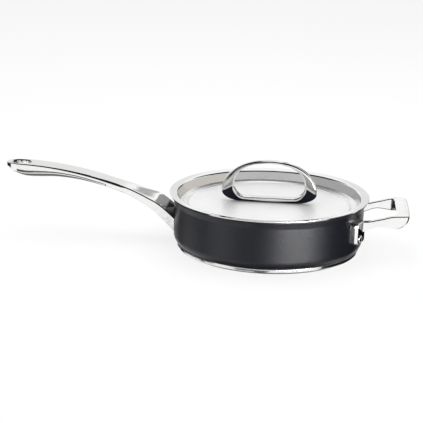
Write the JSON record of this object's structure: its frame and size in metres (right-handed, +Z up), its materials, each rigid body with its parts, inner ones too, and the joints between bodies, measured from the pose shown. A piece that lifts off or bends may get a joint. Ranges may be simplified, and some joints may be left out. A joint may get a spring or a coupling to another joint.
{
  "type": "covered saute pan",
  "caption": "Covered saute pan: dark straight-sided body on a shiny base, long cast handle, loop helper handle, and a recessed steel lid with a stirrup-shaped knob.",
  "frame": {"origin": "centre of the base's flat underside, on the pan's upright axis", "axes": "+Z up along the pan's axis; the long handle runs towards -X and the helper handle towards +X; the pan is mirror-symmetric about the XZ plane"},
  "size_m": [0.5294, 0.26, 0.1138],
  "materials": {
    "anodised_body": "hard anodised, charcoal, satin with a fine grain",
    "base_core": "plain",
    "base_cap": "polished side, finely turned underside",
    "cast_handle": "polished casting",
    "rivet": "polished",
    "lid_sheet": "polished sheet",
    "cast_knob": "polished casting",
    "fixing": "plain"
  },
  "bodies": {
    "pan": {"pan_body": "anodised_body", "base_core": "base_core", "base_cap": "base_cap", "long_handle": "cast_handle", "long_handle_rivet_1": "rivet", "long_handle_rivet_2": "rivet", "helper_handle": "cast_handle", "helper_handle_rivet_1": "rivet", "helper_handle_rivet_2": "rivet"},
    "lid": {"lid": "lid_sheet", "lid_knob": "cast_knob", "knob_screw_1": "fixing", "knob_screw_2": "fixing", "knob_washer_1": "fixing", "knob_washer_2": "fixing"}
  },
  "joints": [
    {"name": "lid_lift", "type": "slide", "parent": "pan", "child": "lid", "axis": [0, 0, 1], "range_m": [0, 0.15]}
  ]
}
